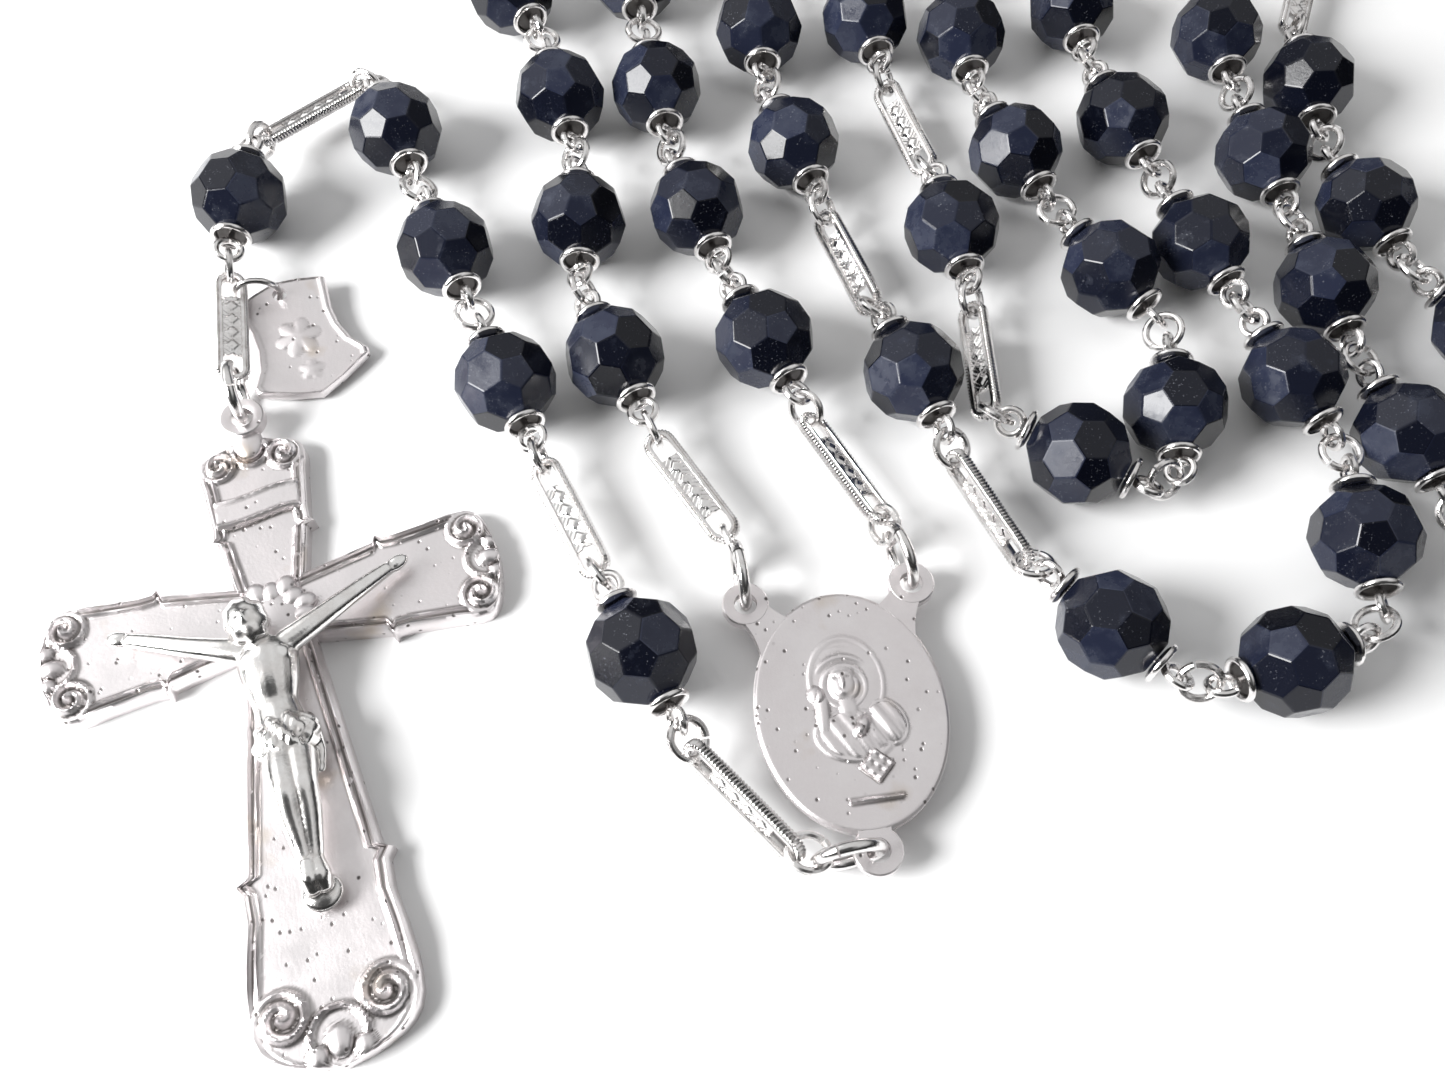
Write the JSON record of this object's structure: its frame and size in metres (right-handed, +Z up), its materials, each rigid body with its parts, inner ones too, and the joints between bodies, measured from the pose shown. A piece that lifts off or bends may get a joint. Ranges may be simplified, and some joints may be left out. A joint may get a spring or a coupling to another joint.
{
  "type": "rosary",
  "caption": "Rosary of black faceted glass beads on silver wire pins and rings, with engraved links, an oval centre medal, a crucifix with a corpus and a small shield tag.",
  "frame": {"origin": "On the back of the crucifix where its two arms cross, in the plane of the table the rosary lies on.", "axes": "Z is up from the table. Y runs away from the viewer, from the crucifix towards the loop. X runs from the crucifix towards the centre medal."},
  "size_m": [0.1218, 0.1436, 0.0094],
  "materials": {
    "glass": "gloss",
    "bright_silver": "polished",
    "satin_silver": "satin"
  },
  "bodies": {
    "medal": {"centre_medal": "satin_silver"},
    "pendant_link_1": {"bottom_jump_ring": "bright_silver", "pendant_1_ring": "bright_silver", "pendant_1_link": "bright_silver"},
    "our_father_pin": {"pendant_our_father_ring": "bright_silver", "pendant_our_father_pin": "bright_silver"},
    "pendant_our_father_bead": {"pendant_our_father_bead": "glass"},
    "pendant_link_2": {"pendant_2_ring": "bright_silver", "pendant_2_link": "bright_silver"},
    "hail_mary_1_pin": {"hail_mary_1_ring": "bright_silver", "hail_mary_1_pin": "bright_silver"},
    "hail_mary_1_bead": {"hail_mary_1_bead": "glass"},
    "hail_mary_2_pin": {"hail_mary_2_ring": "bright_silver", "hail_mary_2_pin": "bright_silver"},
    "hail_mary_2_bead": {"hail_mary_2_bead": "glass"},
    "hail_mary_3_pin": {"hail_mary_3_ring": "bright_silver", "hail_mary_3_pin": "bright_silver"},
    "hail_mary_3_bead": {"hail_mary_3_bead": "glass"},
    "pendant_link_3": {"pendant_3_ring": "bright_silver", "pendant_3_link": "bright_silver"},
    "lower_our_father_pin": {"lower_our_father_ring": "bright_silver", "lower_our_father_pin": "bright_silver"},
    "lower_our_father_bead": {"lower_our_father_bead": "glass"},
    "pendant_link_4": {"pendant_4_ring": "bright_silver", "pendant_4_link": "bright_silver", "tag_ring": "bright_silver"},
    "crucifix_jump_ring": {"crucifix_jump_ring": "bright_silver"},
    "crucifix": {"crucifix_cross": "satin_silver", "corpus": "bright_silver"},
    "tag": {"tag": "satin_silver"},
    "right_strand": {"right_jump_ring": "bright_silver", "right_link_1": "bright_silver", "right_hail_marys_1": "glass", "right_hail_marys_2": "glass", "right_link_2": "bright_silver", "right_our_father_1_pin": "bright_silver", "right_link_3": "bright_silver", "right_hail_marys_3": "glass", "right_hail_marys_4": "glass", "right_link_4": "bright_silver", "right_our_father_2_pin": "bright_silver", "right_link_5": "bright_silver"},
    "left_strand": {"left_jump_ring": "bright_silver", "left_link_1": "bright_silver", "left_hail_marys_1": "glass", "left_hail_marys_2": "glass", "left_link_2": "bright_silver", "left_our_father_1_pin": "bright_silver", "left_link_3": "bright_silver"},
    "left_middle": {"left_hail_marys_3": "glass", "left_hail_marys_4": "glass", "left_link_4": "bright_silver", "left_our_father_2_pin": "bright_silver", "left_link_5": "bright_silver"},
    "right_tail": {"right_hail_marys_5": "glass"},
    "left_tail": {"left_hail_marys_5": "glass"},
    "left_our_father_1_bead": {"left_our_father_1_bead": "glass"},
    "left_our_father_2_bead": {"left_our_father_2_bead": "glass"},
    "right_our_father_1_bead": {"right_our_father_1_bead": "glass"},
    "right_our_father_2_bead": {"right_our_father_2_bead": "glass"}
  },
  "joints": [
    {"name": "pendant_swing", "type": "hinge", "parent": "medal", "child": "pendant_link_1", "pos_m": [0.04319, -0.01765, 0.0019], "axis": [0, 0, 1], "range_deg": [0, 45]},
    {"name": "our_father_swivel", "type": "hinge", "parent": "pendant_link_1", "child": "our_father_pin", "pos_m": [0.03121, -0.01135, 0.0028], "axis": [0, 0, 1], "range_deg": [0, 30]},
    {"name": "pendant_our_father_spin", "type": "hinge", "parent": "our_father_pin", "child": "pendant_our_father_bead", "pos_m": [0.02713, -0.00416, 0.004], "axis": [-0.454, 0.891, 0], "continuous": true},
    {"name": "second_link_lift", "type": "hinge", "parent": "our_father_pin", "child": "pendant_link_2", "pos_m": [0.02451, 0.00097, 0.004], "axis": [0.891, 0.454, 0], "range_deg": [0, 60]},
    {"name": "hail_mary_1_swivel", "type": "hinge", "parent": "pendant_link_2", "child": "hail_mary_1_pin", "pos_m": [0.01946, 0.01089, 0.0028], "axis": [0, 0, 1], "range_deg": [0, 14]},
    {"name": "hail_mary_1_spin", "type": "hinge", "parent": "hail_mary_1_pin", "child": "hail_mary_1_bead", "pos_m": [0.01592, 0.01838, 0.004], "axis": [-0.4226, 0.9063, 0], "continuous": true},
    {"name": "hail_mary_2_lift", "type": "hinge", "parent": "hail_mary_1_pin", "child": "hail_mary_2_pin", "pos_m": [0.01349, 0.0236, 0.004], "axis": [0.9136, 0.4067, 0], "range_deg": [0, 45]},
    {"name": "hail_mary_2_spin", "type": "hinge", "parent": "hail_mary_2_pin", "child": "hail_mary_2_bead", "pos_m": [0.00998, 0.0314, 0.004], "axis": [-0.4067, 0.9136, 0], "continuous": true},
    {"name": "hail_mary_3_swivel", "type": "hinge", "parent": "hail_mary_2_pin", "child": "hail_mary_3_pin", "pos_m": [0.00764, 0.03666, 0.004], "axis": [0, 0, 1], "range_deg": [0, 15]},
    {"name": "hail_mary_3_spin", "type": "hinge", "parent": "hail_mary_3_pin", "child": "hail_mary_3_bead", "pos_m": [0.00439, 0.04458, 0.004], "axis": [-0.3746, 0.9272, 0], "continuous": true},
    {"name": "third_link_swivel", "type": "hinge", "parent": "hail_mary_3_pin", "child": "pendant_link_3", "pos_m": [0.00224, 0.04992, 0.004], "axis": [0, 0, 1], "range_deg": [-60, 0]},
    {"name": "lower_our_father_swivel", "type": "hinge", "parent": "pendant_link_3", "child": "lower_our_father_pin", "pos_m": [-0.00681, 0.045, 0.0028], "axis": [0, 0, 1], "range_deg": [-35, 0]},
    {"name": "lower_our_father_spin", "type": "hinge", "parent": "lower_our_father_pin", "child": "lower_our_father_bead", "pos_m": [-0.00788, 0.03695, 0.004], "axis": [0, -1, 0], "continuous": true},
    {"name": "fourth_link_lift", "type": "hinge", "parent": "lower_our_father_pin", "child": "pendant_link_4", "pos_m": [-0.00788, 0.03119, 0.004], "axis": [-0.9816, -0.1908, 0], "range_deg": [0, 50]},
    {"name": "crucifix_ring_swivel", "type": "hinge", "parent": "pendant_link_4", "child": "crucifix_jump_ring", "pos_m": [-0.00604, 0.02038, 0.0028], "axis": [0, 0, 1], "range_deg": [-40, 5]},
    {"name": "crucifix_lift", "type": "hinge", "parent": "crucifix_jump_ring", "child": "crucifix", "pos_m": [-0.0054, 0.01822, 0.0027], "axis": [-0.9588, -0.284, 0], "range_deg": [0, 90]},
    {"name": "tag_swing", "type": "hinge", "parent": "pendant_link_4", "child": "tag", "pos_m": [-0.00393, 0.02856, 0.00148], "axis": [0, 0, 1], "range_deg": [0, 30]},
    {"name": "right_strand_lift", "type": "hinge", "parent": "medal", "child": "right_strand", "pos_m": [0.04592, 0.00395, 0.0027], "axis": [0.9908, 0.1355, 0], "range_deg": [0, 45]},
    {"name": "left_strand_lift", "type": "hinge", "parent": "medal", "child": "left_strand", "pos_m": [0.0341, 0.00234, 0.0027], "axis": [0.9908, 0.1355, 0], "range_deg": [0, 45]},
    {"name": "left_fold", "type": "hinge", "parent": "left_strand", "child": "left_middle", "pos_m": [0.05471, 0.00395, 0.0028], "axis": [0.1, -0.995, 0], "range_deg": [0, 40]},
    {"name": "right_tail_lift", "type": "hinge", "parent": "right_strand", "child": "right_tail", "pos_m": [0.07713, 0.06323, 0.0028], "axis": [-0.9976, -0.0698, 0], "range_deg": [0, 50]},
    {"name": "left_tail_lift", "type": "hinge", "parent": "left_middle", "child": "left_tail", "pos_m": [0.08518, 0.05744, 0.0028], "axis": [-0.9994, 0.0349, 0], "range_deg": [0, 50]},
    {"name": "left_our_father_1_spin", "type": "hinge", "parent": "left_strand", "child": "left_our_father_1_bead", "pos_m": [0.04771, 0.0193, 0.004], "axis": [0.3584, -0.9336, 0], "continuous": true},
    {"name": "left_our_father_2_spin", "type": "hinge", "parent": "left_middle", "child": "left_our_father_2_bead", "pos_m": [0.09082, 0.07435, 0.004], "axis": [-0.2756, -0.9613, 0], "continuous": true},
    {"name": "right_our_father_1_spin", "type": "hinge", "parent": "right_strand", "child": "right_our_father_1_bead", "pos_m": [0.05183, 0.03372, 0.004], "axis": [0.1736, -0.9848, 0], "continuous": true},
    {"name": "right_our_father_2_spin", "type": "hinge", "parent": "right_strand", "child": "right_our_father_2_bead", "pos_m": [0.07645, 0.08105, 0.004], "axis": [0.0698, -0.9976, 0], "continuous": true}
  ],
  "couplings": [
    {"joint": "left_strand_lift", "follows": "right_strand_lift", "ratio": 1}
  ]
}
